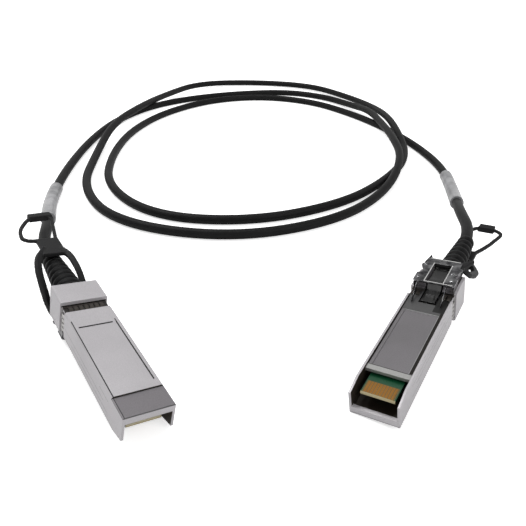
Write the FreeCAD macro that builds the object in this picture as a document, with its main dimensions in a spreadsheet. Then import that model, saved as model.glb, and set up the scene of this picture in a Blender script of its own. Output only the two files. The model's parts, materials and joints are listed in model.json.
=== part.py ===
"""A direct attach copper cable: two identical small form-factor plugs on one jacketed cable.

Millimetres, +Z up, standing on z = 0. Each plug is made in its own frame: X runs from the tip of the
plug (0) towards the cable, Y across, and Z up from the underside of the nose (0). The left plug lies
with its top up, the right plug is turned bottom up. The cable leaves the left plug, runs round three
open turns and ends in the right plug.
"""
import FreeCAD, Part
import math
import os
import re

import Sketcher

Vector = FreeCAD.Vector
Rotation = FreeCAD.Rotation
Placement = FreeCAD.Placement

doc = FreeCAD.newDocument("DirectAttachCable")
sheet = doc.addObject("Spreadsheet::Sheet", "Dimensions")

# The plug's outside follows the small form-factor pluggable outline that every such cage expects.
DIMENSIONS = {
    # nose, the part that slides into the cage
    "nose_half": 6.75,
    "nose_top": 8.5,
    "wall": 0.7,
    "roof": 1.3,
    "corner": 0.5,
    "tongue_back": 7.2,
    "tongue_drop": 0.35,
    "tip_rise": 1.3,
    "tip_slope": 5.2,
    "recess_front": 8.8,
    "recess_back": 36.2,
    "recess_half": 5.35,
    "recess_deep": 0.2,
    "lip_low": 6.1,
    "lip_long": 1.2,
    # head, the part that stays outside the cage
    "head_front": 47.5,
    "head_back": 57.1,
    "head_half": 6.95,
    "head_top": 9.6,
    "head_split": -0.4,
    "head_wall": 1.2,
    "head_corner": 0.4,
    "cable_axis": 4.25,
    "neck_radius": 3.0,
    # bottom shell
    "plate_front": 9.3,
    "plate_low": 0.5,
    "plate_thick": 1.0,
    "plate_half": 5.95,
    "under_back": 36.6,
    "under_half": 4.9,
    "slot_front": 41.3,
    "slot_half": 2.6,
    "slot_back": 51.4,
    "cheek_front": 48.6,
    "cheek_half": 5.45,
    "cheek_low": -2.65,
    "rest_long": 2.0,
    "rest_first": 15.0,
    "rest_second": 33.0,
    # paddle card and its contact pads
    "card_front": 2.4,
    "card_back": 38.0,
    "card_half": 4.6,
    "card_low": 2.25,
    "card_thick": 1.0,
    "card_bevel": 0.3,
    "pad_front": 2.8,
    "pad_long": 4.0,
    "pad_wide": 0.6,
    "pad_pitch": 0.8,
    "pad_thick": 0.05,
    # spring-finger collar between nose and head
    "collar_front": 44.1,
    "collar_deep": 0.45,
    "sheet_thick": 0.15,
    "band_long": 0.7,
    "finger_wide": 1.1,
    "finger_pitch": 1.5,
    "finger_rise": 0.5,
    # latch
    "pin_x": 50.0,
    "pin_z": -1.3,
    "pin_radius": 0.5,
    "pin_play": 0.1,
    "lever_half": 2.1,
    "lever_front": 41.8,
    "lever_low": 0.15,
    "lever_thick": 0.6,
    "lever_back": 56.4,
    "tail_low": -1.9,
    "boss_front": 42.4,
    "boss_back": 45.0,
    "boss_half": 1.3,
    "boss_low": -0.45,
    "slider_front": 46.8,
    "slider_back": 60.3,
    "slider_low": -3.2,
    "slider_thick": 0.4,
    "lobe_half": 6.2,
    "waist_half": 4.9,
    "window_front": 47.5,
    "window_back": 57.5,
    "window_half": 2.65,
    "flange_half": 6.1,
    "flange_thick": 0.4,
    # strain relief
    "flange_front": 54.9,
    "flange_long": 0.95,
    "flange_wide": 8.6,
    "flange_low": 1.6,
    "flange_high": 7.0,
    "boot_back": 78.0,
    "boot_big": 4.7,
    "boot_small": 2.9,
    "ring_deep": 0.45,
    # pull tab
    "yoke_front": 57.4,
    "yoke_long": 3.4,
    "yoke_half": 6.1,
    "wing_half": 8.0,
    "wing_back": 64.0,
    "yoke_thick": 1.1,
    "strap_wide": 2.0,
    "strap_thick": 1.6,
    "strand_wide": 1.2,
    "strand_thick": 1.1,
    "grip_wide": 3.0,
    "grip_thick": 2.2,
    "bridge_front": 76.0,
    "bridge_back": 86.8,
    "bridge_half": 3.6,
    "bridge_low": 8.3,
    "bridge_thick": 1.4,
    # cable and label sleeves
    "cable_radius": 2.1,
    "sleeve_radius": 2.9,
    "sleeve_play": 0.05,
    "sleeve_long": 38.0,
    "lead_run": 14.0,
    "wire_radius": 0.45,
    # where each plug lies
    "left_x": -28.85,
    "left_y": -47.13,
    "left_z": 0.70,
    "left_yaw": 123.49,
    "left_tilt": 4.4,
    "left_roll": 9.39,
    "right_x": 26.97,
    "right_y": -40.32,
    "right_z": 0.34,
    "right_yaw": 59.32,
    "right_tilt": 6.5,
    "right_roll": -5.8,
}
for row, (alias, number) in enumerate(DIMENSIONS.items(), start=1):
    sheet.set("A%d" % row, alias)
    sheet.set("B%d" % row, str(number))
    sheet.setAlias("B%d" % row, alias)
doc.recompute()

PAD_COUNT = 10
BOOT_RINGS = 7
# Round soft parts have this many flat sides.
BOOT_SIDES = 16
CABLE_SIDES = 8
WIRE_SIDES = 6
SIDES = ("left", "right")

# Corners of the cable's free run, from the left plug round three turns to the right plug.
ROUTE = [
    (-84.9, 52.8, 9.4), (-95.6, 88.8, 3.2), (-102.1, 132.8, 2.3), (-104.6, 181.8, 2.15), (-99.1, 228.8, 2.15),
    (-79.6, 270.8, 2.15), (-39.6, 300.8, 2.15), (11.4, 315.8, 2.15), (44.4, 303.8, 2.15), (64.4, 273.8, 4.2),
    (72.4, 240.8, 7.2), (74.4, 208.8, 7.8), (74.9, 176.8, 8.8), (73.4, 143.8, 7.2), (58.4, 106.8, 2.15),
    (29.4, 73.8, 2.15), (-15.6, 55.8, 2.15), (-65.6, 64.8, 2.15), (-88.6, 107.8, 2.15), (-93.1, 154.8, 2.15),
    (-94.1, 199.8, 7), (-90.1, 244.8, 9), (-81.6, 290.8, 3.2), (-58.6, 332.8, 2.15), (-10.6, 349.8, 2.15),
    (35.4, 332.8, 2.15), (64.4, 295.8, 2.15), (77.4, 262.8, 4.4), (81.4, 229.8, 7.6), (80.9, 197.8, 7.8),
    (75.9, 162.8, 2.5), (58.4, 126.8, 2.15), (33.4, 92.8, 2.15), (-6.6, 71.8, 2.15), (-49.6, 75.8, 2.15),
    (-78.6, 109.8, 2.15), (-88.1, 154.8, 2.15), (-86.6, 202.8, 2.15), (-70.6, 247.8, 2.15), (-41.6, 284.8, 2.15),
    (-3.6, 297.8, 2.15), (33.4, 283.8, 2.15), (58.4, 250.8, 2.15), (74.9, 218.8, 2.15), (87.4, 180.8, 2.15),
    (92.4, 139.8, 2.9), (87.0, 100.8, 3.5), (77.2, 64.8, 12),
]
# How far along the cable each label sleeve begins, measured from the plug that it sits by.
SLEEVE_START = {"left": 46.0, "right": 69.0}

# Corners of each pull tab's soft loop behind its bridge, in the plug's frame. The grip is one run.
LOOP = {
    "left": [(86.2, 2.9, 9.0), (87.0, 7.6, 9.2), (94.0, 7.0, 9.3), (102.6, 2.0, 9.6),
             (103.6, -6.0, 9.6), (86.2, -2.9, 9.0)],
    "right": [(86.2, 2.9, 9.0), (93.4, 6.4, 9.4), (102.0, 8.6, 9.8), (104.5, 5.2, 9.8),
              (104.9, -0.4, 9.8), (99.2, -4.6, 9.6), (86.2, -2.9, 9.0)],
}
GRIP_RUN = 3
# The two straps that climb from the yoke past the boot; the tab is wider on one side.
STRAPS = [
    [(59.8, 5.2, -2.2), (61.5, 6.6, 1.6), (70.0, 6.9, 7.0), (75.0, 5.9, 9.0), (80.5, 2.3, 9.0)],
    [(59.8, -5.2, -2.2), (61.5, -5.8, 1.6), (69.0, -5.2, 7.0), (75.0, -4.3, 9.0), (80.0, -2.3, 9.0)],
]


def size(text):
    """The value of an expression in the sheet's aliases."""
    return float(sheet.evalExpression(text))


def bound(text):
    """The same expression as another object writes it."""
    return re.sub(r"[a-z]\w+", r"Dimensions.\g<0>", text)


def bind(thing, path, text):
    thing.setExpression(path, bound(text))


def plane(body, role):
    return [feature for feature in body.Origin.OriginFeatures if feature.Role == role][0]


def new_body(label):
    body = doc.addObject("PartDesign::Body", label)
    body.Label = label
    return body


def new_sketch(body, name, role, offset="0", lift="0"):
    """A sketch on one of the body's own planes, moved along its normal and along its second axis."""
    sketch = body.newObject("Sketcher::SketchObject", name)
    sketch.AttachmentSupport = [(plane(body, role), "")]
    sketch.MapMode = "FlatFace"
    sketch.AttachmentOffset = Placement(Vector(0, size(lift), size(offset)), Rotation())
    bind(sketch, "AttachmentOffset.Base.z", offset)
    bind(sketch, "AttachmentOffset.Base.y", lift)
    return sketch


def add_outline(sketch, corners):
    """A closed outline of straight lines, every corner bound to the sheet."""
    spots = [Vector(size(across), size(up), 0) for across, up in corners]
    first = sketch.GeometryCount
    count = len(spots)
    for index, spot in enumerate(spots):
        sketch.addGeometry(Part.LineSegment(spot, spots[(index + 1) % count]), False)
    for index, (across, up) in enumerate(corners):
        line = first + index
        following = first + (index + 1) % count
        sketch.addConstraint(Sketcher.Constraint("Coincident", line, 2, following, 1))
        for kind, text, value in (("DistanceX", across, spots[index].x), ("DistanceY", up, spots[index].y)):
            constraint = sketch.addConstraint(Sketcher.Constraint(kind, -1, 1, line, 1, value))
            bind(sketch, "Constraints[%d]" % constraint, text)


def add_circle(sketch, across, up, radius):
    centre = Vector(size(across), size(up), 0)
    circle = sketch.addGeometry(Part.Circle(centre, Vector(0, 0, 1), size(radius)), False)
    for kind, text, value in (("DistanceX", across, centre.x), ("DistanceY", up, centre.y)):
        constraint = sketch.addConstraint(Sketcher.Constraint(kind, -1, 1, circle, 3, value))
        bind(sketch, "Constraints[%d]" % constraint, text)
    constraint = sketch.addConstraint(Sketcher.Constraint("Radius", circle, size(radius)))
    bind(sketch, "Constraints[%d]" % constraint, radius)


def rectangle(low_across, low_up, high_across, high_up):
    return [(low_across, low_up), (high_across, low_up), (high_across, high_up), (low_across, high_up)]


def mirrored(half):
    """A whole outline from its right half, listed from bottom to top, mirrored across the plug."""
    return half + [("-(%s)" % across, up) for across, up in reversed(half)]


def extrude(body, kind, sketch, length, both_ways=False):
    """A pad or a pocket; both ways means half of the length on each side of the sketch."""
    feature = body.newObject(kind, sketch.Name + kind.split("::")[1])
    feature.Profile = sketch
    feature.SideType = "Symmetric" if both_ways else "One side"
    feature.Length = size(length)
    bind(feature, "Length", length)
    sketch.Visibility = False
    return feature


def pad(body, sketch, length, both_ways=False):
    return extrude(body, "PartDesign::Pad", sketch, length, both_ways)


def cut(body, sketch, length):
    """A pocket that reaches equally far on both sides of its sketch."""
    return extrude(body, "PartDesign::Pocket", sketch, length, True)


def slab(body, name, corners, low, thick):
    """A plate with an outline seen from above."""
    sketch = new_sketch(body, name, "XY_Plane", low)
    add_outline(sketch, corners)
    return pad(body, sketch, thick)


def section(body, name, corners, front, length):
    """A straight bar with an outline seen along the plug."""
    sketch = new_sketch(body, name, "YZ_Plane", front)
    add_outline(sketch, corners)
    return pad(body, sketch, length)


def top_shell(label):
    """Die-cast cover: an upside-down channel for a nose and a deeper one for the head."""
    body = new_body(label)
    section(body, label + "_nose", mirrored([
        ("nose_half - wall", "0"),
        ("nose_half", "0"),
        ("nose_half", "nose_top - corner"),
        ("nose_half - corner", "nose_top"),
    ]) + [
        ("wall - nose_half", "nose_top - roof"),
        ("nose_half - wall", "nose_top - roof"),
    ], "0", "head_front")
    section(body, label + "_head", mirrored([
        ("head_half - head_wall", "head_split"),
        ("head_half", "head_split"),
        ("head_half", "head_top - head_corner"),
        ("head_half - head_corner", "head_top"),
    ]) + [
        ("head_wall - head_half", "head_top - head_wall"),
        ("head_half - head_wall", "head_top - head_wall"),
    ], "head_front", "head_back - head_front")
    # front wall of the head, closing it above the nose, and the upper half of its back wall
    section(body, label + "_brow", rectangle(
        "-nose_half", "nose_top - roof", "nose_half", "head_top - head_corner"), "head_front", "head_wall")
    section(body, label + "_back", rectangle(
        "-nose_half", "cable_axis", "nose_half", "head_top - head_corner"),
        "head_back - head_wall", "head_wall")
    neck = new_sketch(body, label + "_neck", "YZ_Plane", "head_back")
    add_circle(neck, "0", "cable_axis", "neck_radius")
    cut(body, neck, "2 * head_wall + 1")
    # the side walls rise to the tip, and the tongue lies a step lower than the rest of the top
    tip = new_sketch(body, label + "_tip", "XZ_Plane")
    add_outline(tip, [
        ("-1", "-1"),
        ("tip_slope", "-1"),
        ("tip_slope", "0"),
        ("0", "tip_rise"),
        ("-1", "tip_rise"),
    ])
    cut(body, tip, "4 * nose_half")
    tongue = new_sketch(body, label + "_tongue", "XY_Plane", "nose_top")
    add_outline(tongue, rectangle("-1", "-2 * nose_half", "tongue_back", "2 * nose_half"))
    cut(body, tongue, "2 * tongue_drop")
    recess = new_sketch(body, label + "_recess", "XY_Plane", "nose_top")
    add_outline(recess, rectangle("recess_front", "-recess_half", "recess_back", "recess_half"))
    cut(body, recess, "2 * recess_deep")
    section(body, label + "_lip", rectangle(
        "wall - nose_half", "lip_low", "nose_half - wall", "nose_top - roof"), "0", "lip_long")
    collar_seat(body, label)
    return body


def collar_seat(body, label):
    """A shallow groove round the nose, just in front of the head, for the spring-finger collar."""
    across = rectangle("collar_front", "-2 * nose_half", "head_front", "2 * nose_half")
    for name, height in (("_groove_top", "nose_top"), ("_groove_low", "0")):
        sketch = new_sketch(body, label + name, "XY_Plane", height)
        add_outline(sketch, across)
        cut(body, sketch, "2 * collar_deep")
    for name, offset in (("_groove_near", "nose_half"), ("_groove_far", "-nose_half")):
        sketch = new_sketch(body, label + name, "XZ_Plane", offset)
        add_outline(sketch, rectangle("collar_front", "-1", "head_front", "nose_top + 1"))
        cut(body, sketch, "2 * collar_deep")


def bottom_shell(label):
    """Cover plate set between the nose's walls, with the head's floor, cheeks and half back wall."""
    body = new_body(label)
    slab(body, label + "_plate", [
        ("plate_front", "-plate_half"),
        ("head_front", "-plate_half"),
        ("head_front", "-slot_half"),
        ("slot_front", "-slot_half"),
        ("slot_front", "slot_half"),
        ("head_front", "slot_half"),
        ("head_front", "plate_half"),
        ("plate_front", "plate_half"),
    ], "plate_low", "plate_thick")
    slab(body, label + "_floor", [
        ("head_front - wall", "-plate_half + 0.25"),
        ("head_back", "-plate_half + 0.25"),
        ("head_back", "plate_half - 0.25"),
        ("head_front - wall", "plate_half - 0.25"),
        ("head_front - wall", "slot_half"),
        ("slot_back", "slot_half"),
        ("slot_back", "-slot_half"),
        ("head_front - wall", "-slot_half"),
    ], "plate_low", "plate_thick")
    slab(body, label + "_sole", [
        ("head_front + 0.05", "-plate_half + 0.25"),
        ("head_back", "-plate_half + 0.25"),
        ("head_back", "plate_half - 0.25"),
        ("head_front + 0.05", "plate_half - 0.25"),
        ("head_front + 0.05", "slot_half"),
        ("slot_back", "slot_half"),
        ("slot_back", "-slot_half"),
        ("head_front + 0.05", "-slot_half"),
    ], "head_split", "plate_low - head_split")
    for name, inner, outer in (
        ("_cheek_near", "-cheek_half", "-slot_half"),
        ("_cheek_far", "slot_half", "cheek_half"),
    ):
        slab(body, label + name, rectangle("cheek_front", inner, "head_back", outer),
             "cheek_low", "head_split - cheek_low")
    section(body, label + "_back", rectangle(
        "-plate_half + 0.25", "plate_low", "plate_half - 0.25", "cable_axis - 0.02"),
        "head_back - head_wall", "head_wall")
    neck = new_sketch(body, label + "_neck", "YZ_Plane", "head_back")
    add_circle(neck, "0", "cable_axis", "neck_radius")
    cut(body, neck, "2 * head_wall + 1")
    # ledges that carry the card
    for name, front in (("_rest_a", "rest_first"), ("_rest_b", "rest_second")):
        slab(body, label + name, rectangle(front, "-card_half", front + " + rest_long", "card_half"),
             "plate_low + plate_thick", "card_low - plate_low - plate_thick")
    under = new_sketch(body, label + "_under", "XY_Plane", "plate_low")
    add_outline(under, rectangle("plate_front + 2", "-under_half", "under_back", "under_half"))
    cut(body, under, "2 * recess_deep")
    bore = new_sketch(body, label + "_bore", "XZ_Plane")
    add_circle(bore, "pin_x", "pin_z", "pin_radius")
    cut(body, bore, "4 * nose_half")
    return body


def paddle_card(label):
    """Circuit board whose bevelled front edge plugs into the host's socket."""
    body = new_body(label)
    sketch = new_sketch(body, label + "_edge", "XZ_Plane")
    add_outline(sketch, [
        ("card_front", "card_low + card_bevel"),
        ("card_front + card_bevel", "card_low"),
        ("card_back", "card_low"),
        ("card_back", "card_low + card_thick"),
        ("card_front + card_bevel", "card_low + card_thick"),
        ("card_front", "card_low + card_thick - card_bevel"),
    ])
    pad(body, sketch, "2 * card_half", True)
    return body


def shaped(label, shape):
    """A piece whose shape comes from Part's own functions."""
    piece = doc.addObject("Part::Feature", label)
    piece.Label = label
    piece.Shape = shape
    return piece


def contact_pads(label):
    """Gold fingers, one row on each face of the card."""
    thick = size("pad_thick")
    pads = []
    for low in (size("card_low") - thick, size("card_low + card_thick")):
        for index in range(PAD_COUNT):
            centre = (index - (PAD_COUNT - 1) / 2) * size("pad_pitch")
            corner = Vector(size("pad_front"), centre - size("pad_wide") / 2, low)
            pads.append(Part.makeBox(size("pad_long"), size("pad_wide"), thick, corner))
    return shaped(label, Part.makeCompound(pads))


def emi_collar(label):
    """Spring-finger sheet metal round the nose, open below where the latch passes."""
    body = new_body(label)
    inner_half = "nose_half - collar_deep + 0.02"
    inner_top = "nose_top - collar_deep + 0.02"
    inner_low = "collar_deep - 0.02"
    gap_half = "slot_half + 0.3"
    section(body, label + "_band", [
        (gap_half, inner_low),
        (gap_half, inner_low + " - sheet_thick"),
        (inner_half + " + sheet_thick", inner_low + " - sheet_thick"),
        (inner_half + " + sheet_thick", inner_top + " + sheet_thick"),
        ("-(" + inner_half + " + sheet_thick)", inner_top + " + sheet_thick"),
        ("-(" + inner_half + " + sheet_thick)", inner_low + " - sheet_thick"),
        ("-(" + gap_half + ")", inner_low + " - sheet_thick"),
        ("-(" + gap_half + ")", inner_low),
        ("-(" + inner_half + ")", inner_low),
        ("-(" + inner_half + ")", inner_top),
        (inner_half, inner_top),
        (inner_half, inner_low),
    ], "head_front - 0.05 - band_long", "band_long")
    fingers = (
        ("_top", "XZ_Plane", inner_top, 1, 7, 0.0),
        ("_low_near", "XZ_Plane", inner_low, -1, 2, -4.6),
        ("_low_far", "XZ_Plane", inner_low, -1, 2, 4.6),
        ("_near", "XY_Plane", inner_half, 1, 4, 4.25),
        ("_far", "XY_Plane", "-(" + inner_half + ")", -1, 4, 4.25),
    )
    for name, role, base, outward, count, centre in fingers:
        for index in range(count):
            place = centre + (index - (count - 1) / 2) * size("finger_pitch")
            offset = -place if role == "XZ_Plane" else place
            sketch = new_sketch(body, "%s%s_%d" % (label, name, index), role, "%.3f" % offset)
            add_outline(sketch, finger_profile(base, outward))
            pad(body, sketch, "finger_wide", True)
    return body


def finger_profile(base, outward):
    """One finger seen from its side: it leaves the band, bows outward and comes back at its tip."""
    sign = "+" if outward > 0 else "-"
    root = "head_front - 0.05 - band_long / 2"
    crest = "collar_front + 1.6"
    tip = "collar_front + 0.2"
    skin = "%s %s sheet_thick" % (base, sign)
    return [
        (root, base),
        (root, skin),
        (crest, "%s %s finger_rise" % (base, sign)),
        (tip, "%s %s 0.1" % (skin, sign)),
        (tip, "%s %s 0.1" % (base, sign)),
        (crest, "%s %s (finger_rise - sheet_thick)" % (base, sign)),
    ]


def latch_rocker(label):
    """Lever that carries the wedge-shaped boss and rocks on the pin in the head's cheeks."""
    body = new_body(label)
    sketch = new_sketch(body, label + "_lever", "XZ_Plane")
    add_outline(sketch, [
        ("lever_front", "lever_low"),
        ("pin_x - 2", "lever_low"),
        ("pin_x - 0.9", "pin_z - 0.8"),
        ("pin_x + 0.9", "pin_z - 0.8"),
        ("pin_x + 1.6", "tail_low"),
        ("lever_back", "tail_low"),
        ("lever_back", "tail_low + lever_thick"),
        ("pin_x + 1.4", "tail_low + lever_thick + 0.2"),
        ("pin_x + 0.6", "pin_z + 0.9"),
        ("pin_x - 0.7", "pin_z + 1.1"),
        ("pin_x - 1.3", "lever_low + lever_thick"),
        ("lever_front", "lever_low + lever_thick"),
    ])
    pad(body, sketch, "2 * lever_half", True)
    boss = new_sketch(body, label + "_boss", "XZ_Plane")
    add_outline(boss, [
        ("boss_front", "lever_low"),
        ("boss_back - 0.35", "boss_low"),
        ("boss_back", "boss_low"),
        ("boss_back", "lever_low + 0.1"),
        ("boss_front", "lever_low + 0.1"),
    ])
    pad(body, boss, "2 * boss_half", True)
    bore = new_sketch(body, label + "_bore", "XZ_Plane")
    add_circle(bore, "pin_x", "pin_z", "pin_radius + pin_play")
    cut(body, bore, "4 * lever_half")
    return body


def latch_pin(label):
    body = new_body(label)
    sketch = new_sketch(body, label + "_round", "XZ_Plane")
    add_circle(sketch, "pin_x", "pin_z", "pin_radius")
    pad(body, sketch, "2 * cheek_half - 0.2", True)
    return body


def latch_slider(label):
    """Stamped actuator under the head: stepped lobes, a window over the lever and two side flanges."""
    body = new_body(label)
    slab(body, label + "_plate", [
        ("slider_front", "-lobe_half + 0.5"),
        ("slider_front + 0.5", "-lobe_half"),
        ("slider_front + 4.4", "-lobe_half"),
        ("slider_front + 5.2", "-waist_half"),
        ("slider_front + 6.0", "-waist_half"),
        ("slider_front + 8.8", "-lobe_half"),
        ("slider_front + 9.8", "-lobe_half"),
        ("slider_front + 10.2", "-waist_half - 0.3"),
        ("slider_back - 0.5", "-waist_half - 0.3"),
        ("slider_back", "-waist_half + 0.2"),
        ("slider_back", "waist_half - 0.2"),
        ("slider_back - 0.5", "waist_half + 0.3"),
        ("slider_front + 10.2", "waist_half + 0.3"),
        ("slider_front + 9.8", "lobe_half"),
        ("slider_front + 8.8", "lobe_half"),
        ("slider_front + 6.0", "waist_half"),
        ("slider_front + 5.2", "waist_half"),
        ("slider_front + 4.4", "lobe_half"),
        ("slider_front + 0.5", "lobe_half"),
        ("slider_front", "lobe_half - 0.5"),
    ], "slider_low", "slider_thick")
    window = new_sketch(body, label + "_window", "XY_Plane", "slider_low")
    add_outline(window, rectangle("window_front", "-window_half", "window_back", "window_half"))
    cut(body, window, "4 * slider_thick")
    for name, inner, outer in (
        ("_flange_near", "-flange_half", "flange_thick - flange_half"),
        ("_flange_far", "flange_half - flange_thick", "flange_half"),
    ):
        slab(body, label + name, rectangle("slider_front + 0.6", inner, "slider_front + 4.2", outer),
             "slider_low", "head_split - 0.3 - slider_low")
    return body


def rounded_path(points):
    """Straight runs joined by tangent arcs, each arc as large as its two runs allow."""
    edges = []
    radii = []
    start = points[0]
    for before, corner, after in zip(points, points[1:], points[2:]):
        back = before - corner
        ahead = after - corner
        reach = 0.45 * min(back.Length, ahead.Length)
        half_turn = (math.pi - back.getAngle(ahead)) / 2
        back.normalize()
        ahead.normalize()
        radius = reach / math.tan(half_turn)
        inward = back + ahead
        inward.normalize()
        enter = corner + back * reach
        middle = corner + inward * radius * (1 / math.cos(half_turn) - 1)
        leave = corner + ahead * reach
        edges.append(Part.LineSegment(start, enter).toShape())
        edges.append(Part.Arc(enter, middle, leave).toShape())
        radii.append(radius)
        start = leave
    edges.append(Part.LineSegment(start, points[-1]).toShape())
    return Part.Wire(edges), radii


def bar(path, corners):
    """A bar along a path; the corners of its section are given across the path and upward."""
    first = path.Edges[0]
    centre = first.valueAt(first.FirstParameter)
    along = first.tangentAt(first.FirstParameter)
    across = along.cross(Vector(0, 0, 1))
    across.normalize()
    up = across.cross(along)
    ring = [centre + across * wide + up * high for wide, high in corners]
    return path.makePipe(Part.Face(Part.makePolygon(ring + ring[:1])))


def even_section(radius, sides):
    """Corners on a circle, with a flat side below."""
    turns = [(index + 0.5) * 2 * math.pi / sides for index in range(sides)]
    return [(radius * math.sin(turn), -radius * math.cos(turn)) for turn in turns]


def flat_section(wide, thick):
    return [(-wide / 2, -thick / 2), (wide / 2, -thick / 2), (wide / 2, thick / 2), (-wide / 2, thick / 2)]


def upright_box(front, low, length, half, thick):
    """A box between two heights, centred across the plug."""
    return Part.makeBox(length, 2 * half, thick, Vector(front, -half, low))


def boot_outline(along, radius):
    """Corners of an even outline round the cable's axis, at a distance along the plug."""
    axis = size("cable_axis")
    return [Vector(along, across, axis + up) for across, up in even_section(radius, BOOT_SIDES)]


def flat_face(corners):
    return Part.Face(Part.makePolygon(corners + corners[:1]))


def tapered(outlines):
    """A solid with flat sides through a row of outlines, closed at its first and last."""
    faces = [flat_face(outlines[0]), flat_face(outlines[-1])]
    for near, far in zip(outlines, outlines[1:]):
        for index in range(BOOT_SIDES):
            before = index - 1
            faces.append(flat_face([near[before], near[index], far[index], far[before]]))
    return Part.Solid(Part.Shell(faces))


def strain_relief(label):
    """Moulded boot: a flat flange behind the head's back wall, a neck through it and a ringed taper."""
    flange = upright_box(size("flange_front"), size("flange_low"), size("flange_long"),
                         size("flange_wide / 2"), size("flange_high - flange_low"))
    root = size("head_back + 0.05")
    neck_radius = size("neck_radius - 0.05")
    big = size("boot_big")
    pitch = (size("boot_back") - root) / BOOT_RINGS
    drop = (big - size("boot_small")) / BOOT_RINGS
    outlines = [
        boot_outline(size("flange_front + 0.65 * flange_long"), neck_radius),
        boot_outline(root, neck_radius),
    ]
    for index in range(BOOT_RINGS):
        start = root + index * pitch
        high = big - index * drop
        outlines += [
            boot_outline(start + 0.05 * pitch, high - size("ring_deep")),
            boot_outline(start + 0.25 * pitch, high),
            boot_outline(start + 0.75 * pitch, high - 0.5 * drop),
            boot_outline(start + 0.95 * pitch, high - size("ring_deep") - 0.5 * drop),
        ]
    return shaped(label, flange.fuse(tapered(outlines)).removeSplitter())


def wire_pairs(label):
    """Two screened pairs that fan out from the boot to the back of the card."""
    radius = size("wire_radius")
    axis = size("cable_axis")
    on_card = size("card_low + card_thick + 0.05") + radius
    start = size("flange_front - 0.05")
    end = size("card_back - 2")
    wires = []
    for inner, outer in ((-1.5, -3.3), (-0.5, -2.3), (0.5, 2.3), (1.5, 3.3)):
        path = Part.Wire([Part.makeLine(Vector(start, inner, axis), Vector(end, outer, on_card))])
        wires.append(bar(path, even_section(radius, WIRE_SIDES)))
    return shaped(label, Part.makeCompound(wires))


def pull_tab(label, side):
    """Soft tab: a yoke on the slider, two straps round the boot, a bridge and a loop with a grip."""
    front = size("yoke_front")
    low = size("slider_low + slider_thick + 0.05")
    long = size("yoke_long")
    half = size("yoke_half")
    yoke = upright_box(front, low, long, half, size("yoke_thick"))
    bridge = upright_box(size("bridge_front"), size("bridge_low"),
                         size("bridge_back - bridge_front"), size("bridge_half"), size("bridge_thick"))
    pieces = [bridge]
    # a pointed wing at each end of the yoke
    for side_sign in (1, -1):
        wing = flat_face([
            Vector(front + 0.4, side_sign * (half - 0.5), low),
            Vector(size("wing_back") - 1, side_sign * size("wing_half"), low),
            Vector(size("wing_back"), side_sign * (size("wing_half") - 0.3), low),
            Vector(front + long, side_sign * (half - 2), low),
        ])
        pieces.append(wing.extrude(Vector(0, 0, size("yoke_thick"))))
    strap = flat_section(size("strap_wide"), size("strap_thick"))
    for corners in STRAPS:
        path, _ = rounded_path([Vector(*corner) for corner in corners])
        pieces.append(bar(path, strap))
    loop = [Vector(*point) for point in LOOP[side]]
    path, _ = rounded_path(loop)
    pieces.append(bar(path, flat_section(size("strand_wide"), size("strand_thick"))))
    grip_path = Part.Wire([Part.makeLine(*loop[GRIP_RUN:GRIP_RUN + 2])])
    pieces.append(bar(grip_path, flat_section(size("grip_wide"), size("grip_thick"))))
    return shaped(label, yoke.fuse(pieces).removeSplitter())


def plug_place(side):
    """Where a plug lies: turned about Z, leaning back on its tip, and the right one upside down."""
    spot = Vector(size(side + "_x"), size(side + "_y"), size(side + "_z"))
    turn = Rotation(Vector(0, 0, 1), size(side + "_yaw"))
    lean = Rotation(Vector(0, 1, 0), -size(side + "_tilt"))
    roll = Rotation(Vector(1, 0, 0), size(side + "_roll"))
    place = Placement(spot, turn * lean * roll)
    if side == "right":
        place = place * Placement(Vector(0, 0, size("nose_top")), Rotation(Vector(1, 0, 0), 180))
    return place


def along_axis(place, along):
    return place.multVec(Vector(along, 0, size("cable_axis")))


def part_of(path, start, length):
    """The stretch of a path that begins at start and has the given length."""
    edges = []
    walked = 0.0
    for edge in path.Edges:
        low = max(start - walked, 0.0)
        high = min(start + length - walked, edge.Length)
        if low < high:
            ends = [edge.getParameterByLength(spot) for spot in (low, high)]
            edges.append(edge.Curve.toShape(*ends))
        walked += edge.Length
    return Part.Wire(edges)


places = {side: plug_place(side) for side in SIDES}
nodes = []
for side in SIDES:
    makers = [
        (top_shell, "top_shell"),
        (bottom_shell, "bottom_shell"),
        (paddle_card, "paddle_card"),
        (contact_pads, "contact_pads"),
        (emi_collar, "emi_collar"),
        (latch_rocker, "latch_rocker"),
        (latch_pin, "latch_pin"),
        (latch_slider, "latch_slider"),
        (strain_relief, "strain_relief"),
        (wire_pairs, "wire_pairs"),
    ]
    made = [make("%s_%s" % (side, name)) for make, name in makers]
    made.append(pull_tab(side + "_pull_tab", side))
    for piece in made:
        piece.Placement = places[side]
    nodes += made

lead = size("lead_run")
back = size("boot_back")
ends = {side: [along_axis(places[side], back), along_axis(places[side], back + lead)] for side in SIDES}
corners = ends["left"] + [Vector(*point) for point in ROUTE] + ends["right"][::-1]
cable_path, radii = rounded_path(corners)
cable_section = even_section(size("cable_radius"), CABLE_SIDES)
cable = shaped("cable_jacket", bar(cable_path, cable_section))
nodes.append(cable)
starts = {"left": SLEEVE_START["left"],
          "right": cable_path.Length - SLEEVE_START["right"] - size("sleeve_long")}
for side in SIDES:
    stretch = part_of(cable_path, starts[side], size("sleeve_long"))
    outside = bar(stretch, even_section(size("sleeve_radius"), CABLE_SIDES))
    inside = bar(stretch, even_section(size("cable_radius + sleeve_play"), CABLE_SIDES))
    sleeve = outside.cut(inside)
    nodes.append(shaped(side + "_label_sleeve", sleeve))

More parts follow.
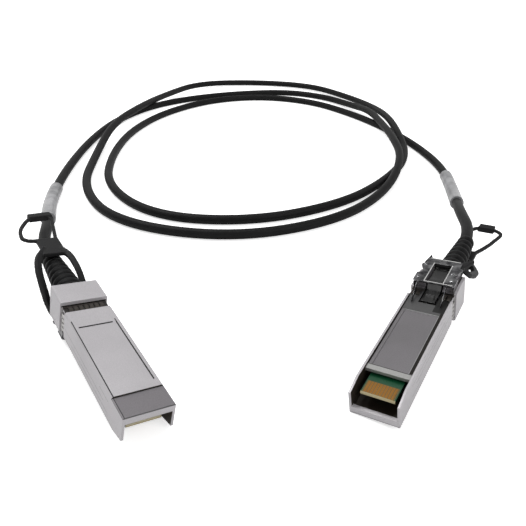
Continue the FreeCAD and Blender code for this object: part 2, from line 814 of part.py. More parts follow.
doc.recompute()
for item in doc.Objects:
    if "Invalid" in item.State or "Error" in item.State:
        raise RuntimeError("%s failed: %s" % (item.Label, item.State))
for node in nodes:
    if node.Shape.isNull() or not node.Shape.isValid():
        raise RuntimeError("%s has no valid shape" % node.Label)

section_area = CABLE_SIDES / 2 * size("cable_radius") ** 2 * math.sin(2 * math.pi / CABLE_SIDES)
print("cable length %.1f mm, volume / (section x length) %.5f" % (
    cable_path.Length, cable.Shape.Volume / (section_area * cable_path.Length)))
print("bend radii, smallest %.1f mm: %s" % (min(radii), " ".join("%.0f" % radius for radius in radii)))
print("cable ends", [tuple(round(number, 3) for number in spot) for side in SIDES for spot in ends[side]])

os.makedirs("parts", exist_ok=True)
for node in nodes:
    node.Shape.exportStep("parts/%s.step" % node.Label)
    box = node.Shape.BoundBox
    print("%-22s volume %9.2f solids %2d  x %.2f %.2f  y %.2f %.2f  z %.2f %.2f" % (
        node.Label, node.Shape.Volume, len(node.Shape.Solids),
        box.XMin, box.XMax, box.YMin, box.YMax, box.ZMin, box.ZMax))
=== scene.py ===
"""Looks for the direct attach copper cable: two metal plugs on one black cable, on a white floor.

Metres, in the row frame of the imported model. A plug's own pieces are placed in the plug's frame: X from
its tip towards the cable, Y across and Z up from the underside of its nose, read from the joints.
"""

import bpy
import bmesh
import json
import math
from mathutils import Matrix, Vector


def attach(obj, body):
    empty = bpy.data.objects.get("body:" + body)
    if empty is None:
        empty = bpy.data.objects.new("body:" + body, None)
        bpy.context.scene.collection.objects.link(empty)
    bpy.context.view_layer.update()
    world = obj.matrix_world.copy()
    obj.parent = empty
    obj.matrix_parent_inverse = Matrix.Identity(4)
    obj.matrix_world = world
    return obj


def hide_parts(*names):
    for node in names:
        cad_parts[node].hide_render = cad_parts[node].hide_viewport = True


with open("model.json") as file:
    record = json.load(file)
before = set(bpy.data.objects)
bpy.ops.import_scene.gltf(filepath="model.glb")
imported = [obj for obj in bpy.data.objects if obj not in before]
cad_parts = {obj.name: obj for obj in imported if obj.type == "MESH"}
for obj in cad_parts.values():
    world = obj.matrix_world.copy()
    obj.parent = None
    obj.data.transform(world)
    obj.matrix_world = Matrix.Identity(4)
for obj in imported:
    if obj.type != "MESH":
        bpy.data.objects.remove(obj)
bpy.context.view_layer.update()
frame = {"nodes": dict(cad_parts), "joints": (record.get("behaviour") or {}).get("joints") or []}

MM = 0.001
ROOT = "plugs_and_cable"
SIDES = ("left", "right")

# The latch pin in the plug's own frame, from which that frame is found again.
HINGE = Vector((50.0, 0.0, -1.3)) * MM

# The camera was fitted to both plugs of the photo; place in metres, angles in degrees.
CAMERA_PLACE = (-0.0016, -0.1452, 0.10436)
CAMERA_LENS = 38.78
CAMERA_TILT = 29.354
CAMERA_ROLL = 0.905

# Studio brightness near the horizon and overhead, with the height of direction at which each is reached,
# and how far the floor glows for the camera.
HORIZON_HEIGHT = 0.12
OVERHEAD_HEIGHT = 0.85
WORLD_LOW = 0.95
WORLD_HIGH = 0.34
FLOOR_GLOW = 0.6
FLOOR_REACH = 4.0

# Name, place and aim in metres, width, depth and watts of each lamp.
LAMPS = (
    ("key", (-0.35, 0.25, 0.75), (0.0, 0.05, 0.0), 0.5, 0.35, 4.2),
    ("fill", (0.55, -0.35, 0.55), (0.0, 0.0, 0.0), 0.5, 0.5, 2.2),
    ("rim", (0.15, 0.30, 1.05), (0.05, 0.0, 0.01), 0.12, 0.05, 1.6),
)

# The cable starts where the solid boot ends, at BOOT_BACK, and runs straight over LEAD_RUN; both are in
# millimetres along the plug. The boot made here reaches further and covers the start of that run.
CABLE_AXIS = 4.25 * MM
CABLE_RADIUS = 2.1 * MM
BOOT_BACK = 78.0
LEAD_RUN = 14.0

# Corners of the cable's free run in millimetres: the points of the part's source, many of them moved
# by a few millimetres so that the turns lie as in the photo.
ROUTE = [
    (-84.9, 52.8, 9.4), (-97.4, 88.8, 3.2), (-103.4, 132.8, 2.3), (-104.6, 181.8, 2.15),
    (-99.1, 228.8, 2.15), (-79.6, 270.8, 2.15), (-39.6, 300.8, 2.15), (11.4, 315.8, 2.15),
    (43.0, 301.3, 2.15), (61.2, 270.8, 3.2), (68.9, 240.8, 7.2), (71.2, 208.8, 7.8), (71.9, 176.8, 8.8),
    (71.4, 143.8, 7.2), (57.2, 108.4, 2.15), (29.4, 73.8, 2.15), (-15.6, 55.8, 2.15), (-64.2, 69.0, 2.15),
    (-88.8, 107.4, 2.15), (-94.6, 155.8, 2.15), (-95.4, 199.8, 7), (-86.9, 243.8, 6.9), (-78.0, 285.6, 4.6),
    (-58.2, 336.2, 3.2), (-10.6, 349.8, 2.15), (36.4, 334.8, 3.0), (62.4, 294.8, 3.2), (73.8, 261.6, 4.8),
    (77.6, 228.8, 7.6), (78.4, 197.8, 7.6), (78.3, 160.0, 2.5), (60.2, 124.0, 2.15), (34.0, 92.2, 2.15),
    (-6.6, 71.8, 2.15), (-49.6, 75.8, 2.15), (-77.9, 110.3, 2.15), (-85.9, 155.2, 2.15),
    (-84.8, 202.6, 2.15), (-70.6, 247.8, 2.15), (-41.6, 284.8, 2.15), (-3.6, 297.8, 2.15),
    (33.4, 283.8, 2.15), (58.4, 250.8, 2.15), (74.9, 218.8, 2.15), (87.4, 180.8, 2.15), (92.4, 139.8, 2.9),
    (87.0, 100.8, 3.5), (77.2, 64.8, 12),
]

# How far each label sleeve lies from its end of the cable, in metres, and what both sleeves share.
SLEEVE_START = {"left": 0.0435, "right": 0.059}
SLEEVE_LONG = 0.048
SLEEVE_STEP = 0.001
SLEEVE_RADIUS = 2.85 * MM
SLEEVE_SIDES = 32


# ---------------------------------------------------------------- frames and small helpers

def joint(name):
    return next(item for item in frame["joints"] if item["name"] == name)


def plug_matrix(side):
    """Places a plug's own frame in the row frame, from its slide's axis and its hinge."""
    along = Vector(joint(side + "_pull")["axis"]).normalized()
    rock = joint(side + "_latch_rock")
    across = Vector(rock["axis"]).normalized()
    up = along.cross(across)
    turn = Matrix((along, across, up)).transposed()
    origin = Vector(rock["pos_m"]) - turn @ HINGE
    return Matrix.Translation(origin) @ turn.to_4x4()


PLUG = {side: plug_matrix(side) for side in SIDES}


def at(side, x, y, z):
    """A point of a plug, in millimetres of its own frame, in the row frame."""
    return PLUG[side] @ (Vector((x, y, z)) * MM)


def new_object(name, mesh, material):
    thing = bpy.data.objects.new(name, mesh)
    bpy.context.collection.objects.link(thing)
    mesh.materials.append(material)
    return thing


def settle(thing, body, slot, *nodes):
    """Gives a piece its body and lets it stand for CAD nodes; the slot is not used."""
    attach(thing, body)
    if nodes:
        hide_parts(*nodes)
    return thing


# ---------------------------------------------------------------- camera, light and floor

def add_camera():
    camera = bpy.data.objects.new("camera", bpy.data.cameras.new("camera"))
    bpy.context.collection.objects.link(camera)
    camera.data.sensor_width = 36.0
    camera.data.lens = CAMERA_LENS
    camera.data.clip_start = 0.01
    camera.data.clip_end = 20.0
    place = Matrix.Translation(CAMERA_PLACE)
    tilt = Matrix.Rotation(math.radians(90.0 - CAMERA_TILT), 4, "X")
    roll = Matrix.Rotation(math.radians(CAMERA_ROLL), 4, "Z")
    camera.matrix_world = place @ tilt @ roll
    bpy.context.scene.camera = camera


def area_light(name, spot, aim, width, depth, power):
    lamp = bpy.data.lights.new(name, "AREA")
    lamp.shape = "RECTANGLE"
    lamp.size = width
    lamp.size_y = depth
    lamp.energy = power
    thing = bpy.data.objects.new(name, lamp)
    bpy.context.collection.objects.link(thing)
    thing.location = spot
    thing.rotation_euler = (Vector(aim) - Vector(spot)).to_track_quat("-Z", "Y").to_euler()


def link(tree, source, target):
    tree.links.new(source, target)


def number_node(tree, operation, first, second, third=None):
    """The output of a math node; each input is a constant number or another node's output."""
    node = tree.nodes.new("ShaderNodeMath")
    node.operation = operation
    for place, value in enumerate((first, second, third)):
        if value is None:
            continue
        if isinstance(value, (int, float)):
            node.inputs[place].default_value = value
        else:
            link(tree, value, node.inputs[place])
    return node.outputs[0]


def ramp(tree, value, low, high, at_low, at_high):
    """Turns a value between low and high into one between at_low and at_high."""
    node = tree.nodes.new("ShaderNodeMapRange")
    node.inputs["From Min"].default_value = low
    node.inputs["From Max"].default_value = high
    node.inputs["To Min"].default_value = at_low
    node.inputs["To Max"].default_value = at_high
    link(tree, value, node.inputs["Value"])
    return node.outputs["Result"]


def seen_share(tree):
    """One for what the camera sees, also through a clear piece, and nought for all other light."""
    path = tree.nodes.new("ShaderNodeLightPath")
    return number_node(tree, "MAXIMUM", path.outputs["Is Camera Ray"], path.outputs["Is Transmission Ray"])


def add_world():
    """White behind the object, and a studio that darkens overhead for what lights and mirrors in it."""
    world = bpy.data.worlds.new("studio")
    bpy.context.scene.world = world
    world.use_nodes = True
    tree = world.node_tree
    background = tree.nodes["Background"]
    background.inputs["Color"].default_value = (1.0, 1.0, 1.0, 1.0)
    seen = seen_share(tree)
    where = tree.nodes.new("ShaderNodeTexCoord")
    split = tree.nodes.new("ShaderNodeSeparateXYZ")
    link(tree, where.outputs["Generated"], split.inputs[0])
    studio = ramp(tree, split.outputs["Z"], HORIZON_HEIGHT, OVERHEAD_HEIGHT, WORLD_LOW, WORLD_HIGH)
    hidden = number_node(tree, "SUBTRACT", 1.0, seen)
    lit = number_node(tree, "MULTIPLY", hidden, studio)
    link(tree, number_node(tree, "ADD", seen, lit), background.inputs["Strength"])


def add_floor():
    """A white sheet that fades to pure white for the camera but keeps the contact shadows."""
    mesh = bpy.data.meshes.new("floor")
    corners = [(x * FLOOR_REACH, y * FLOOR_REACH, 0) for x, y in ((-1, -1), (1, -1), (1, 1), (-1, 1))]
    mesh.from_pydata(corners, [], [(0, 1, 2, 3)])
    paper = bpy.data.materials.new("white_floor")
    paper.use_nodes = True
    tree = paper.node_tree
    shader = tree.nodes["Principled BSDF"]
    shader.inputs["Base Color"].default_value = (0.86, 0.86, 0.86, 1.0)
    shader.inputs["Roughness"].default_value = 0.9
    shader.inputs["Specular IOR Level"].default_value = 0.1
    glow = tree.nodes.new("ShaderNodeEmission")
    link(tree, number_node(tree, "MULTIPLY", seen_share(tree), FLOOR_GLOW), glow.inputs["Strength"])
    both = tree.nodes.new("ShaderNodeAddShader")
    link(tree, shader.outputs[0], both.inputs[0])
    link(tree, glow.outputs[0], both.inputs[1])
    link(tree, both.outputs[0], tree.nodes["Material Output"].inputs["Surface"])
    floor = new_object("floor", mesh, paper)


def add_studio():
    bpy.context.scene.view_settings.view_transform = "Standard"
    add_world()
    add_floor()
    for lamp in LAMPS:
        area_light(*lamp)


# ---------------------------------------------------------------- materials

def painted(tree, colour, boxes):
    """Recolours parts of a surface; each box is given in millimetres of the plug's own frame."""
    where = tree.nodes.new("ShaderNodeTexCoord")
    scaled = tree.nodes.new("ShaderNodeVectorMath")
    scaled.operation = "SCALE"
    scaled.inputs["Scale"].default_value = 1 / MM
    link(tree, where.outputs["Object"], scaled.inputs[0])
    split = tree.nodes.new("ShaderNodeSeparateXYZ")
    link(tree, scaled.outputs[0], split.inputs[0])
    for low, high, shade in boxes:
        share = 1.0
        for axis in range(3):
            middle = (low[axis] + high[axis]) / 2
            half = (high[axis] - low[axis]) / 2
            inside = number_node(tree, "COMPARE", split.outputs[axis], middle, half)
            share = number_node(tree, "MULTIPLY", inside, share)
        mix = tree.nodes.new("ShaderNodeMix")
        mix.data_type = "RGBA"
        link(tree, share, mix.inputs["Factor"])
        link(tree, colour, mix.inputs["A"])
        mix.inputs["B"].default_value = (*shade, 1.0)
        colour = mix.outputs["Result"]
    return colour


def surface(name, colour, roughness, metallic=0.0, tint=None, patch=60.0, tint_share=0.5,
            grain=2600.0, bump=0.00002, coat=0.0, gloss_level=0.5, speckle=0.0, paint=()):
    """A procedural finish: colour that drifts to a tint in patches, uneven gloss and a fine grain."""
    wander = 0.08
    plain_tint = [channel * 0.85 for channel in colour]
    material = bpy.data.materials.new(name)
    material.use_nodes = True
    tree = material.node_tree
    shader = tree.nodes["Principled BSDF"]
    shader.inputs["Metallic"].default_value = metallic
    shader.inputs["Coat Weight"].default_value = coat
    shader.inputs["Specular IOR Level"].default_value = gloss_level
    where = tree.nodes.new("ShaderNodeTexCoord")
    patches = tree.nodes.new("ShaderNodeTexNoise")
    patches.inputs["Scale"].default_value = patch
    patches.inputs["Detail"].default_value = 5.0
    link(tree, where.outputs["Object"], patches.inputs["Vector"])
    mix = tree.nodes.new("ShaderNodeMix")
    mix.data_type = "RGBA"
    mix.inputs["A"].default_value = (*colour, 1.0)
    mix.inputs["B"].default_value = (*(tint or plain_tint), 1.0)
    link(tree, ramp(tree, patches.outputs["Fac"], 0.35, 0.65, 0.0, tint_share), mix.inputs["Factor"])
    fine = tree.nodes.new("ShaderNodeTexNoise")
    fine.inputs["Scale"].default_value = grain
    fine.inputs["Detail"].default_value = 3.0
    link(tree, where.outputs["Object"], fine.inputs["Vector"])
    grainy = tree.nodes.new("ShaderNodeVectorMath")
    grainy.operation = "SCALE"
    link(tree, painted(tree, mix.outputs["Result"], paint), grainy.inputs[0])
    link(tree, ramp(tree, fine.outputs["Fac"], 0.3, 0.7, 1 - speckle, 1 + speckle), grainy.inputs["Scale"])
    link(tree, grainy.outputs[0], shader.inputs["Base Color"])
    link(tree, ramp(tree, fine.outputs["Fac"], 0.0, 1.0, roughness - wander, roughness + wander),
         shader.inputs["Roughness"])
    height = tree.nodes.new("ShaderNodeBump")
    height.inputs["Strength"].default_value = 0.6
    height.inputs["Distance"].default_value = bump
    link(tree, fine.outputs["Fac"], height.inputs["Height"])
    link(tree, height.outputs["Normal"], shader.inputs["Normal"])
    return material


# Colours of the painted parts.
# Painted shade for grooves and steps, and the painted shadow of a side wall.
SHADE = (0.012, 0.010, 0.008)
# Painted shade inside the shell.
INSIDE_SHADE = (0.030, 0.023, 0.017)
# Painted shadow lines where a panel's edge steps down.
SHADOW_LINE = (0.02, 0.019, 0.02)
SEAM = (0.09, 0.09, 0.085)
SCORED = (0.07, 0.07, 0.07)
PALE_BAR = (0.36, 0.36, 0.35)
PALE_STEP = (0.36, 0.36, 0.36)
PALE_LINE = (0.34, 0.34, 0.34)
# Painted shade on the cover plate under the latch, darkest in one corner.
REAR_PLATE_SHADE = (0.10, 0.10, 0.10)
REAR_CORNER_SHADE = (0.02, 0.02, 0.02)
TONGUE = (0.17, 0.16, 0.17)
TONGUE_TIP = (0.06, 0.058, 0.06)
TONGUE_SIDE = (0.05, 0.048, 0.05)
SPRING_CHEEK = (0.40, 0.39, 0.38)
TAN = (0.13, 0.085, 0.018)
BARE_EDGE = (0.34, 0.29, 0.16)

CAST = surface("cast_shell", (0.44, 0.425, 0.44), 0.42, metallic=0.35, tint=(0.36, 0.345, 0.36), grain=4200.0,
               speckle=0.10, paint=[
    # painted shade inside the channel, and under its roof from a little behind the tip
    ((0.15, -6.09, -0.6), (60, 6.09, 6.05), INSIDE_SHADE),
    ((1.3, -6.09, 6.0), (60, 6.09, 7.24), INSIDE_SHADE),
    # lowered tongue with dark edges, painted shade in the step behind it, painted shadow lines at the panel's
    # rim
    ((-1, -7, 7.9), (7.12, 7, 8.3), TONGUE),
    ((-1, -6.6, 8.02), (0.22, 6.6, 8.3), TONGUE_TIP),
    ((-1, 6.15, 8.0), (7.12, 6.4, 8.3), TONGUE_SIDE),
    ((7.12, -6.9, 7.9), (7.36, 6.9, 8.6), SHADE),
    ((10.0, -5.52, 8.0), (37.5, -5.22, 8.6), SHADOW_LINE),
    ((7.3, 6.12, 8.3), (39.5, 6.38, 8.6), SHADOW_LINE),
    ((36.05, -4.4, 8.0), (36.4, 5.2, 8.6), SHADOW_LINE),
    # seams along the side walls
    ((9, -7, 2.0), (37, 7, 2.12), SEAM),
    ((12, -7, 3.6), (43, 7, 3.72), SEAM),
    ((9, -7, 5.6), (15, 7, 5.72), SEAM),
    # painted shade in the groove under the collar
    ((44.1, -6.6, 7.9), (47.6, 6.6, 8.5), SHADE),
])
COVER = surface("cover_plate", (0.20, 0.19, 0.20), 0.36, metallic=0.6, tint=(0.15, 0.145, 0.15), grain=4200.0,
                speckle=0.10, paint=[
    # pale bar at the front with a scored line behind it
    ((9.2, -6, -1), (11.0, 6, 1.6), PALE_BAR),
    ((11.0, -6, -1), (11.25, 6, 1.6), SCORED),
    # painted shadow of a side wall with a pale line inside it, a pale line at the rear step, a painted shadow
    # line opposite
    ((11.3, 5.05, 0), (48, 6, 1.6), SHADE),
    ((11.3, 4.8, 0), (36.7, 5.0, 1.6), PALE_LINE),
    ((36.5, -4.9, 0), (36.75, 4.9, 1.6), PALE_STEP),
    ((11.3, -5.95, 0), (36.7, -5.75, 1.6), SHADOW_LINE),
    # painted shade: the plate darker under the latch, darkest in one corner
    ((36.75, -6, 0), (48, 5.05, 1.6), REAR_PLATE_SHADE),
    ((38.0, 2.6, 0), (48, 6, 1.6), REAR_CORNER_SHADE),
])
# The collar's sheet is dark brownish, partly its own tone and partly painted shade of the groove under the
# head.
SPRING = surface("spring_sheet", (0.060, 0.052, 0.045), 0.32, metallic=0.6, tint=(0.02, 0.018, 0.016), paint=[
    # the collar's two sides are as bright as the shell
    ((44, 6.3, -1), (48, 7.5, 9), SPRING_CHEEK),
    ((44, -7.5, -1), (48, -6.3, 9), SPRING_CHEEK),
])
LATCH = surface("latch_metal", (0.30, 0.30, 0.305), 0.15, metallic=1.0, tint=(0.04, 0.04, 0.045), patch=420.0,
                tint_share=1.0, grain=700.0, bump=0.00008)
# Painted highlight: the slider's rim bars are coloured bright like glints on stamped edges.
RIM_HIGHLIGHT = surface("latch_edge_highlight", (0.55, 0.55, 0.54), 0.4, metallic=0.4, tint=(0.35, 0.35, 0.35), patch=500.0)
LEVER = surface("lever_metal", (0.08, 0.08, 0.08), 0.22, metallic=0.9, tint=(0.03, 0.03, 0.03), patch=300.0)
BOARD = surface("circuit_board", (0.004, 0.062, 0.024), 0.3, tint=(0.003, 0.035, 0.014), coat=0.2, paint=[
    # bare laminate between the pads of both faces, and the front edge
    ((2.0, -4.3, 3.0), (7.0, 4.3, 3.4), TAN),
    ((2.0, -4.3, 2.0), (7.0, 4.3, 2.5), TAN),
    ((2.0, -4.7, 2.2), (2.72, 4.7, 3.3), BARE_EDGE),
])
GOLD = surface("gold", (0.302, 0.141, 0.026), 0.35, metallic=0.7, tint=(0.28, 0.12, 0.03), patch=500.0)
MOULD = surface("black_mould", (0.0075, 0.0075, 0.008), 0.55, tint=(0.013, 0.013, 0.013), grain=2200.0,
                bump=0.00003, gloss_level=0.16)
BOOT = surface("boot_mould", (0.0035, 0.0035, 0.0037), 0.5, tint=(0.007, 0.007, 0.007), grain=2200.0,
               bump=0.00003, gloss_level=0.10)
CABLE = surface("cable_black", (0.0060, 0.0060, 0.0063), 0.5, tint=(0.010, 0.010, 0.010), patch=160.0,
                grain=3000.0, gloss_level=0.10)
WIRE = surface("wire", (0.5, 0.5, 0.52), 0.4, metallic=0.6)
FILM = surface("label_film", (0.30, 0.30, 0.31), 0.3, tint=(0.09, 0.09, 0.095), patch=190.0, tint_share=0.8,
               gloss_level=0.4)


# ---------------------------------------------------------------- cable

def lead(side):
    """The two corners of the cable's straight start at a plug, the boot's end first."""
    return [at(side, along, 0, CABLE_AXIS / MM) for along in (BOOT_BACK, BOOT_BACK + LEAD_RUN)]


def add_cable():
    """The cable as one smooth spline that follows the route; also gives the point where it starts."""
    curve = bpy.data.curves.new("cable", "CURVE")
    curve.dimensions = "3D"
    curve.bevel_depth = CABLE_RADIUS
    curve.bevel_resolution = 8
    curve.resolution_u = 10
    corners = lead("left") + [Vector(point) * MM for point in ROUTE] + lead("right")[::-1]
    spline = curve.splines.new("NURBS")
    spline.points.add(len(corners) - 1)
    for point, corner in zip(spline.points, corners):
        point.co = (*corner, 1.0)
    spline.order_u = 3
    spline.use_endpoint_u = True
    cable = bpy.data.objects.new("cable", curve)
    bpy.context.collection.objects.link(cable)
    curve.materials.append(CABLE)
    settle(cable, ROOT, "cable_black", "cable_jacket")
    return cable, corners[0]


def centreline(cable):
    """Points along the cable's middle, in order."""
    bare = cable.copy()
    bare.data = cable.data.copy()
    bare.data.bevel_depth = 0.0
    bpy.context.collection.objects.link(bare)
    bpy.context.view_layer.update()
    mesh = bpy.data.meshes.new_from_object(bare.evaluated_get(bpy.context.evaluated_depsgraph_get()))
    points = [vertex.co.copy() for vertex in mesh.vertices]
    bpy.data.objects.remove(bare)
    return points


def stretch(points, start, length, step):
    """Evenly spaced points of a line, from start and over a length."""
    found = []
    walked = 0.0
    wanted = start
    last = start + length + 1e-9
    for here, there in zip(points, points[1:]):
        run = (there - here).length
        while walked + run >= wanted and wanted <= last:
            found.append(here.lerp(there, (wanted - walked) / run))
            wanted += step
        walked += run
    return found


def total(points):
    """The length of a line of points."""
    return sum((there - here).length for here, there in zip(points, points[1:]))


def skin(built, rings):
    """Joins rings of corners into a closed solid with flat ends."""
    for first, second in zip(rings, rings[1:]):
        for turn in range(len(first)):
            following = (turn + 1) % len(first)
            built.faces.new((first[turn], first[following], second[following], second[turn]))
    built.faces.new(rings[0][::-1])
    built.faces.new(rings[-1])


def tube(name, points, radius, sides, material, up=(0, 0, 1), squash=1.0):
    """A closed tube along points; squash flattens it in the direction nearest to up."""
    mesh = bpy.data.meshes.new(name)
    built = bmesh.new()
    rings = []
    count = len(points)
    for index, point in enumerate(points):
        ahead = points[min(index + 1, count - 1)] - points[max(index - 1, 0)]
        ahead.normalize()
        side = ahead.cross(Vector(up)).normalized()
        lift = side.cross(ahead)
        ring = []
        for turn in range(sides):
            angle = 2 * math.pi * turn / sides
            offset = side * (math.cos(angle) * radius) + lift * (math.sin(angle) * radius * squash)
            ring.append(built.verts.new(point + offset))
        rings.append(ring)
    skin(built, rings)
    bmesh.ops.recalc_face_normals(built, faces=built.faces)
    for face in built.faces:
        face.smooth = len(face.verts) == 4
    built.to_mesh(mesh)
    built.free()
    return new_object(name, mesh, material)


def add_sleeves(cable):
    """A shrunk label sleeve round the cable near each plug."""
    line = centreline(cable)
    begins = {"left": SLEEVE_START["left"], "right": total(line) - SLEEVE_START["right"] - SLEEVE_LONG}
    made = []
    for side in SIDES:
        path = stretch(line, begins[side], SLEEVE_LONG, SLEEVE_STEP)
        sleeve = tube(side + "_sleeve", path, SLEEVE_RADIUS, SLEEVE_SIDES, FILM)
        made.append(settle(sleeve, ROOT, "label_film", side + "_label_sleeve"))
    return made


# ---------------------------------------------------------------- CAD pieces with softened edges

# Corners closer than this are one, and faces within this angle are one plane.
SAME_SPOT = 0.002 * MM
SAME_PLANE = math.radians(1.0)
# Edges sharper than this are rounded.
SHARP = math.radians(28.0)

# The tab's pointed wings lie below WING_LEVEL and further across than WING_ROOT. On the sides listed in
# FOLDED, they are folded under, to WING_FOLDED across, which draws them forward by WING_DRAW.
FOLDED = {"left": (1, -1), "right": (-1,)}
WING_LEVEL = -1.6 * MM
WING_ROOT = 6.9 * MM
WING_FOLDED = 5.5 * MM
WING_DRAW = 0.6 * MM

# The right tab's loop is stretched by LOOP_STRETCH, growing over LOOP_RAMP from LOOP_FROM on; millimetres.
LOOP_STRETCH = 1.7
LOOP_FROM = 88
LOOP_RAMP = 8


def plug_copy(side, node):
    """A copy of a CAD piece's mesh in its plug's own frame, merged to plain faces."""
    source = frame["nodes"][node]
    mesh = source.data.copy()
    mesh.materials.clear()
    mesh.transform(PLUG[side].inverted() @ source.matrix_world)
    built = bmesh.new()
    built.from_mesh(mesh)
    bmesh.ops.remove_doubles(built, verts=built.verts, dist=SAME_SPOT)
    bmesh.ops.dissolve_limit(built, angle_limit=SAME_PLANE, verts=built.verts, edges=built.edges)
    built.to_mesh(mesh)
    built.free()
    return mesh


def stand(side, thing, body, slot, *nodes):
    """Puts a piece made in the plug's frame where the plug lies."""
    thing.matrix_world = PLUG[side]
    bpy.context.view_layer.update()
    settle(thing, body, slot, *nodes)


def softened(side, name, material, width, slot, body):
    """A copy of a CAD piece with its edges rounded by a width in millimetres, standing for the node."""
    node = side + name
    mesh = plug_copy(side, node)
    mesh.shade_smooth()
    thing = new_object(node + "_finished", mesh, material)
    bevel = thing.modifiers.new("rounded_edges", "BEVEL")
    bevel.width = width * MM
    bevel.segments = 2
    bevel.limit_method = "ANGLE"
    bevel.angle_limit = SHARP
    bevel.harden_normals = True
    normals = thing.modifiers.new("normals", "WEIGHTED_NORMAL")
    normals.keep_sharp = True
    stand(side, thing, body, slot, node)


def fold_wings(mesh, sides):
    """Folds the tab's wings under, on the given sides of the plug."""
    for vertex in mesh.vertices:
        across = 1 if vertex.co.y > 0 else -1
        if across in sides and vertex.co.z < WING_LEVEL and abs(vertex.co.y) > WING_ROOT:
            vertex.co.y = across * WING_FOLDED
            vertex.co.x -= WING_DRAW


def stretch_loop(mesh):
    """Stretches the right tab's loop away from the plug."""
    for vertex in mesh.vertices:
        share = min(max((vertex.co.x / MM - LOOP_FROM) / LOOP_RAMP, 0), 1)
        vertex.co.x += LOOP_STRETCH * MM * share


def moulded_tab(side):
    """A soft moulded copy of the pull tab: every edge flows into the next."""
    node = side + "_pull_tab"
    mesh = plug_copy(side, node)
    fold_wings(mesh, FOLDED[side])
    if side == "right":
        stretch_loop(mesh)
    thing = new_object(node + "_finished", mesh, MOULD)
    remesh = thing.modifiers.new("skin", "REMESH")
    remesh.mode = "VOXEL"
    remesh.voxel_size = 0.22 * MM
    remesh.use_smooth_shade = True
    smooth = thing.modifiers.new("flow", "SMOOTH")
    smooth.factor = 0.5
    smooth.iterations = 6
    stand(side, thing, side + "_release", "black_mould", node)


# ---------------------------------------------------------------- pieces built here

def lathe(built, profile, sides, axis_height):
    """Adds a turned solid about the plug's axis; the profile lists distance along and radius, in mm."""
    rings = []
    for along, radius in profile:
        ring = []
        for turn in range(sides):
            angle = 2 * math.pi * turn / sides
            spot = Vector((along, radius * math.cos(angle), axis_height + radius * math.sin(angle)))
            ring.append(built.verts.new(spot * MM))
        rings.append(ring)
    skin(built, rings)


def block(built, low, high):
    """Adds a box between two corners given in millimetres of the plug's frame."""
    spots = [built.verts.new(Vector((x, y, z)) * MM) for x in (low[0], high[0])
             for y in (low[1], high[1]) for z in (low[2], high[2])]
    for corners in ((0, 1, 3, 2), (4, 6, 7, 5), (0, 4, 5, 1), (2, 3, 7, 6), (0, 2, 6, 4), (1, 5, 7, 3)):
        built.faces.new([spots[corner] for corner in corners])


def built_piece(name, built, material, smooth=False):
    """An object made of what was built."""
    bmesh.ops.recalc_face_normals(built, faces=built.faces)
    mesh = bpy.data.meshes.new(name)
    built.to_mesh(mesh)
    built.free()
    if smooth:
        mesh.shade_smooth()
    return new_object(name, mesh, material)


# The boot in millimetres: a square flange, a neck given as distance along and radius, and then rings. From
# BOOT_BEGIN to BOOT_END the rings' radius falls by BOOT_TAPER in all. A ring's outline lists shares of the
# pitch, each with the drop below that radius. The lip at the end closes on the cable.
FLANGE_LOW = (54.9, -4.3, 1.6)
FLANGE_HIGH = (55.85, 4.3, 7.0)
NECK = [(55.5, 2.94), (57.12, 2.94), (57.14, 4.3)]
BOOT_BEGIN = 57.2
BOOT_END = 86.0
BOOT_RINGS = 10
BOOT_RADIUS = 4.7
BOOT_TAPER = 2.0
RING_TAPER = 0.2
LIP_LONG = 0.3
LIP_RADIUS = 2.2
RING_OUTLINE = ((0.0, 0.5), (0.1, 0.22), (0.25, 0.03), (0.45, 0.0), (0.65, 0.04), (0.8, 0.25), (0.9, 0.5))
BOOT_SIDES = 48
CREASE = math.radians(50.0)


def add_boot(side):
    """The ringed boot, from the flange inside the head to where only the cable goes on."""
    built = bmesh.new()
    block(built, FLANGE_LOW, FLANGE_HIGH)
    profile = list(NECK)
    pitch = (BOOT_END - BOOT_BEGIN) / BOOT_RINGS
    for index in range(BOOT_RINGS):
        start = BOOT_BEGIN + index * pitch
        high = BOOT_RADIUS - BOOT_TAPER * index / BOOT_RINGS
        for share, drop in RING_OUTLINE:
            profile.append((start + share * pitch, high - RING_TAPER * share - drop))
    profile.append((BOOT_END + LIP_LONG, LIP_RADIUS))
    lathe(built, profile, BOOT_SIDES, CABLE_AXIS / MM)
    boot = built_piece(side + "_boot", built, BOOT, smooth=True)
    edges = boot.modifiers.new("creases", "EDGE_SPLIT")
    edges.split_angle = CREASE
    stand(side, boot, ROOT, "black_mould", side + "_strain_relief")


# The rim, painted bright as a highlight, stands between these levels, round the slider's window and at its
# rear edge.
RIM_LOW = -3.27
RIM_HIGH = -3.17
# Each bar of the rim: begin and end along the plug, begin and end across it.
RIM_BARS = (
    (47.4, 57.7, -2.95, -2.68),
    (47.4, 57.7, 2.68, 2.95),
    (47.1, 47.4, -2.95, 5.6),
    (59.9, 60.25, -4.6, 4.6),
)

# Each pressed dimple's place along and across the slider and its radius.
DIMPLES = ((49.0, -5.1, 0.7), (49.4, 4.7, 0.75), (56.4, -5.0, 0.6), (53.2, 4.0, 0.6), (58.8, -1.2, 0.45))
DIMPLE_LEVEL = -3.2
DIMPLE_FLATNESS = 0.45


def add_window_rim(side):
    built = bmesh.new()
    for front, back, near, far in RIM_BARS:
        block(built, (front, near, RIM_LOW), (back, far, RIM_HIGH))
    stand(side, built_piece(side + "_window_rim", built, RIM_HIGHLIGHT), side + "_release", "latch_metal")


def add_dimples(side):
    built = bmesh.new()
    for x, y, radius in DIMPLES:
        made = bmesh.ops.create_uvsphere(built, u_segments=20, v_segments=12, radius=radius * MM)
        for vertex in made["verts"]:
            vertex.co.z *= DIMPLE_FLATNESS
            vertex.co += Vector((x, y, DIMPLE_LEVEL)) * MM
    stand(side, built_piece(side + "_dimples", built, LATCH, smooth=True), side + "_release", "latch_metal")


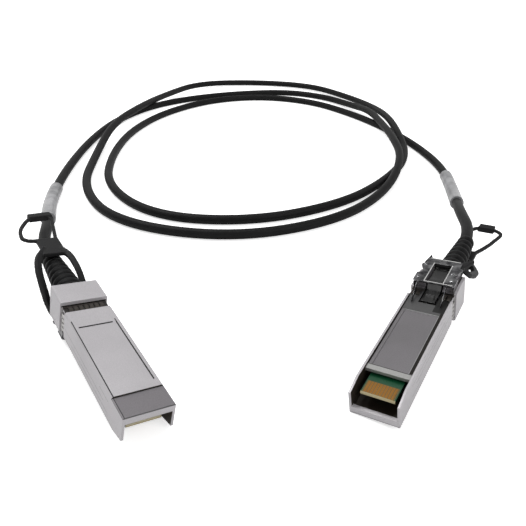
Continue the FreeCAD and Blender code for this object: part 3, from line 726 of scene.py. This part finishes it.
# A leaf spring in millimetres: it runs forward from LEAF_BACK by LEAF_RUN, climbs by LEAF_CLIMB from
# LEAF_LEVEL as the power LEAF_CURVE of its run, sags by LEAF_SAG on the way, drifts across by LEAF_DRIFT and
# ends in a curl.
LEAF_ACROSS = (-4.7, 3.9)
LEAF_BACK = 46.5
LEAF_RUN = 5.2
LEAF_LEVEL = -2.7
LEAF_CLIMB = 3.0
LEAF_CURVE = 0.7
LEAF_SAG = 0.35
LEAF_DRIFT = 0.3
LEAF_STEPS = 24
CURL_RADIUS = 0.45
CURL_TURN = math.pi * 1.5
CURL_STEPS = 14
LEAF_RADIUS = 0.55 * MM
LEAF_SIDES = 12
LEAF_FLATNESS = 0.3


def leaf_path(across):
    """The middle of one leaf spring, from its root to the end of its curl, in metres."""
    points = []
    for step in range(LEAF_STEPS + 1):
        share = step / LEAF_STEPS
        x = LEAF_BACK - LEAF_RUN * share
        z = LEAF_LEVEL + LEAF_CLIMB * share ** LEAF_CURVE - LEAF_SAG * math.sin(math.pi * share)
        points.append(Vector((x, across + LEAF_DRIFT * share, z)) * MM)
    tip = points[-1]
    for step in range(1, CURL_STEPS + 1):
        angle = CURL_TURN * step / CURL_STEPS
        curl = Vector((-CURL_RADIUS * math.sin(angle), 0, -CURL_RADIUS * (1 - math.cos(angle))))
        points.append(tip + curl * MM)
    return points


def add_leaf_springs(side):
    for index, across in enumerate(LEAF_ACROSS):
        leaf = tube("%s_leaf_%d" % (side, index), leaf_path(across), LEAF_RADIUS, LEAF_SIDES, LATCH,
                    up=(0, 1, 0), squash=LEAF_FLATNESS)
        stand(side, leaf, ROOT, "latch_metal")


# ---------------------------------------------------------------- the whole

add_studio()
add_camera()
cable, cable_exit = add_cable()
sleeves = add_sleeves(cable)

for side in SIDES:
    softened(side, "_top_shell", CAST, 0.12, "cast_shell", ROOT)
    softened(side, "_bottom_shell", COVER, 0.10, "cast_shell", ROOT)
    softened(side, "_paddle_card", BOARD, 0.04, "circuit_board", ROOT)
    softened(side, "_contact_pads", GOLD, 0.01, "gold", ROOT)
    softened(side, "_emi_collar", SPRING, 0.03, "spring_sheet", ROOT)
    softened(side, "_wire_pairs", WIRE, 0.05, "wire", ROOT)
    softened(side, "_latch_pin", LATCH, 0.08, "latch_metal", ROOT)
    softened(side, "_latch_rocker", LEVER, 0.06, "latch_metal", side + "_latch")
    softened(side, "_latch_slider", LATCH, 0.08, "latch_metal", side + "_release")
    moulded_tab(side)
    add_boot(side)
    add_window_rim(side)
    add_dimples(side)
    add_leaf_springs(side)
